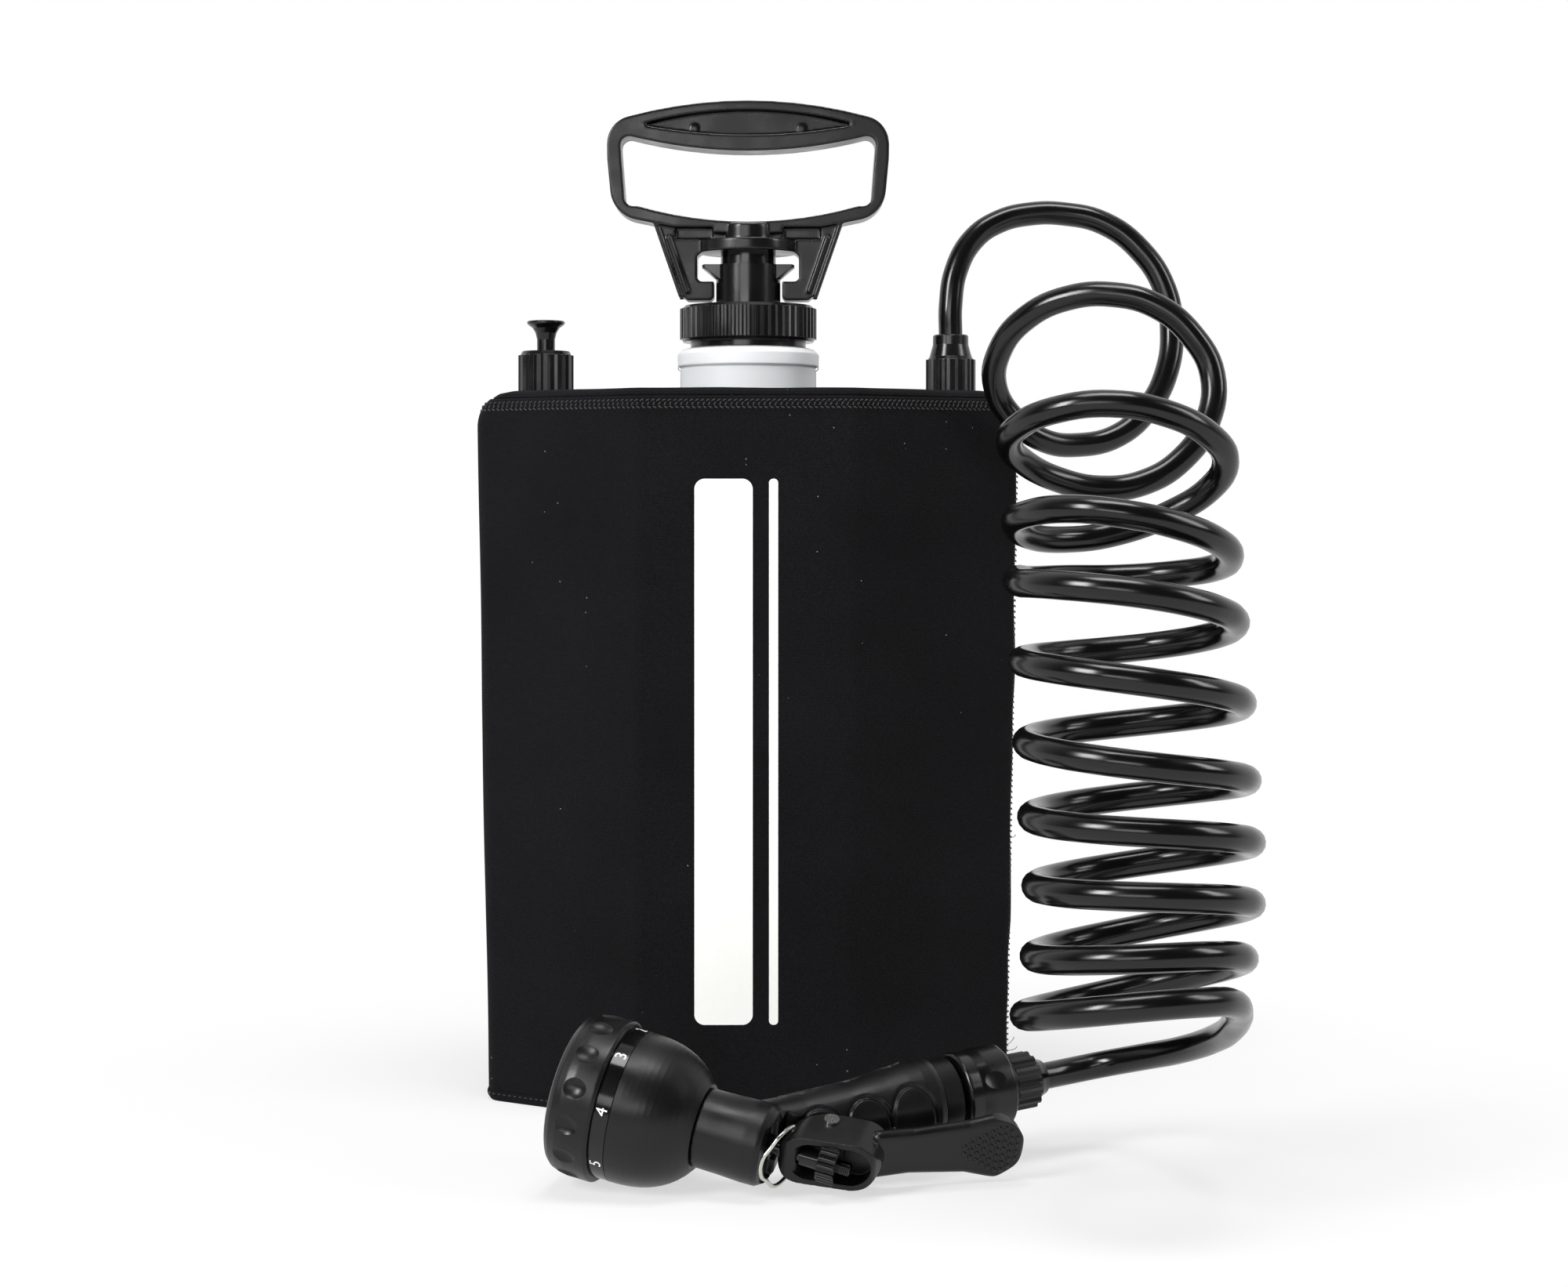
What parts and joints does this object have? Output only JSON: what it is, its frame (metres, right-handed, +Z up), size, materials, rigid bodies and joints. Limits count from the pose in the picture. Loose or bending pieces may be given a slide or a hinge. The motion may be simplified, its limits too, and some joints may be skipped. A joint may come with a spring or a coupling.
{
  "type": "portable pump shower",
  "caption": "Portable shower: an insulated upright water tank with a hand pump, pull-up relief valve and coiled hose ending in a rear-trigger spray nozzle.",
  "frame": {"origin": "centre of the underside of the sleeve's base", "axes": "+Z up along the pump, +X to the right seen from the front, -Y to the front, where the nozzle lies"},
  "size_m": [0.3576, 0.332, 0.498],
  "materials": {
    "neoprene": "knit-faced neoprene foam",
    "tank_white": "blow-moulded polyethylene",
    "black_plastic": "satin moulded",
    "gloss_black": "polished moulded",
    "hose_vinyl": "glossy vinyl hose",
    "rubber": "moulded rubber",
    "metal": "nickel plated"
  },
  "bodies": {
    "tank_unit": {"tank": "tank_white", "sleeve_wrap": "neoprene", "sleeve_top": "neoprene", "sleeve_base": "neoprene", "neck_gasket": "rubber", "relief_nut": "black_plastic", "relief_spring": "metal", "outlet_fitting": "black_plastic", "outlet_gasket": "rubber", "outlet_nut": "black_plastic", "hose_ferrule": "gloss_black", "dip_tube": "tank_white", "dip_filter": "rubber", "hose_riser": "hose_vinyl", "hose_coil": "hose_vinyl", "hose_tail": "hose_vinyl", "turret_seal": "rubber", "nozzle_dome": "black_plastic", "nozzle_body": "black_plastic", "grip_pad": "rubber", "gland_nut": "black_plastic", "stem_seal": "rubber", "valve_spring": "metal", "trigger_pin": "metal", "hose_adaptor": "black_plastic", "coupler_body": "black_plastic", "coupler_spring": "metal", "coupler_seal": "rubber", "nozzle_nut": "black_plastic", "nozzle_ferrule": "gloss_black"},
    "pump": {"pump_barrel": "black_plastic", "foot_valve": "rubber"},
    "collar": {"pump_collar": "black_plastic"},
    "piston": {"piston": "black_plastic", "piston_seal": "rubber"},
    "handle": {"pump_rod": "black_plastic", "pump_handle": "black_plastic"},
    "relief": {"relief_stem": "gloss_black", "relief_seal": "rubber"},
    "turret": {"bezel": "black_plastic", "label_ring": "gloss_black", "face_plate": "black_plastic"},
    "trigger": {"trigger": "black_plastic"},
    "stem": {"valve_stem": "metal"},
    "knob": {"flow_knob": "gloss_black"},
    "clip": {"lock_clip": "metal"},
    "coupler": {"coupler_sleeve": "black_plastic"}
  },
  "joints": [
    {"name": "pump_lift", "type": "slide", "parent": "tank_unit", "child": "pump", "axis": [0, 0, 1], "range_m": [0, 0.24]},
    {"name": "pump_nut_turn", "type": "hinge", "parent": "pump", "child": "collar", "pos_m": [0, 0, 0.38], "axis": [0, 0, 1], "continuous": true},
    {"name": "pump_stroke", "type": "slide", "parent": "pump", "child": "piston", "axis": [0, 0, 1], "range_m": [0, 0.15]},
    {"name": "handle_turn", "type": "hinge", "parent": "piston", "child": "handle", "pos_m": [0, 0, 0.42], "axis": [0, 0, 1], "range_deg": [0, 90]},
    {"name": "relief_pull", "type": "slide", "parent": "tank_unit", "child": "relief", "axis": [0, 0, 1], "range_m": [0, 0.004], "stiffness_N_per_m": 600, "springref_m": -0.003, "deforming": ["relief_spring"]},
    {"name": "spray_select", "type": "hinge", "parent": "tank_unit", "child": "turret", "pos_m": [-0.048, -0.176, 0.0343], "axis": [0.9448, -0.2532, -0.2079], "continuous": true},
    {"name": "trigger_squeeze", "type": "hinge", "parent": "tank_unit", "child": "trigger", "pos_m": [0.03728, -0.18572, 0.02098], "axis": [0.1002, -0.3809, 0.9192], "range_deg": [0, 8], "stiffness_Nm_per_rad": 3, "springref_deg": -5.73},
    {"name": "stem_slide", "type": "slide", "parent": "tank_unit", "child": "stem", "axis": [0.9448, -0.2532, -0.2079], "range_m": [0, 0.002], "deforming": ["valve_spring"]},
    {"name": "flow_adjust", "type": "hinge", "parent": "stem", "child": "knob", "pos_m": [-0.048, -0.176, 0.0343], "axis": [0.9448, -0.2532, -0.2079], "continuous": true},
    {"name": "clip_swing", "type": "hinge", "parent": "trigger", "child": "clip", "pos_m": [0.02097, -0.19302, 0.01973], "axis": [0.1002, -0.3809, 0.9192], "range_deg": [0, 60]},
    {"name": "coupler_slide", "type": "slide", "parent": "tank_unit", "child": "coupler", "axis": [0.9037, 0.4213, 0.0761], "range_m": [0, 0.003], "stiffness_N_per_m": 1500, "springref_m": -0.002, "deforming": ["coupler_spring"]}
  ],
  "couplings": [
    {"joint": "stem_slide", "follows": "trigger_squeeze", "m_per_rad": 0.0135}
  ]
}
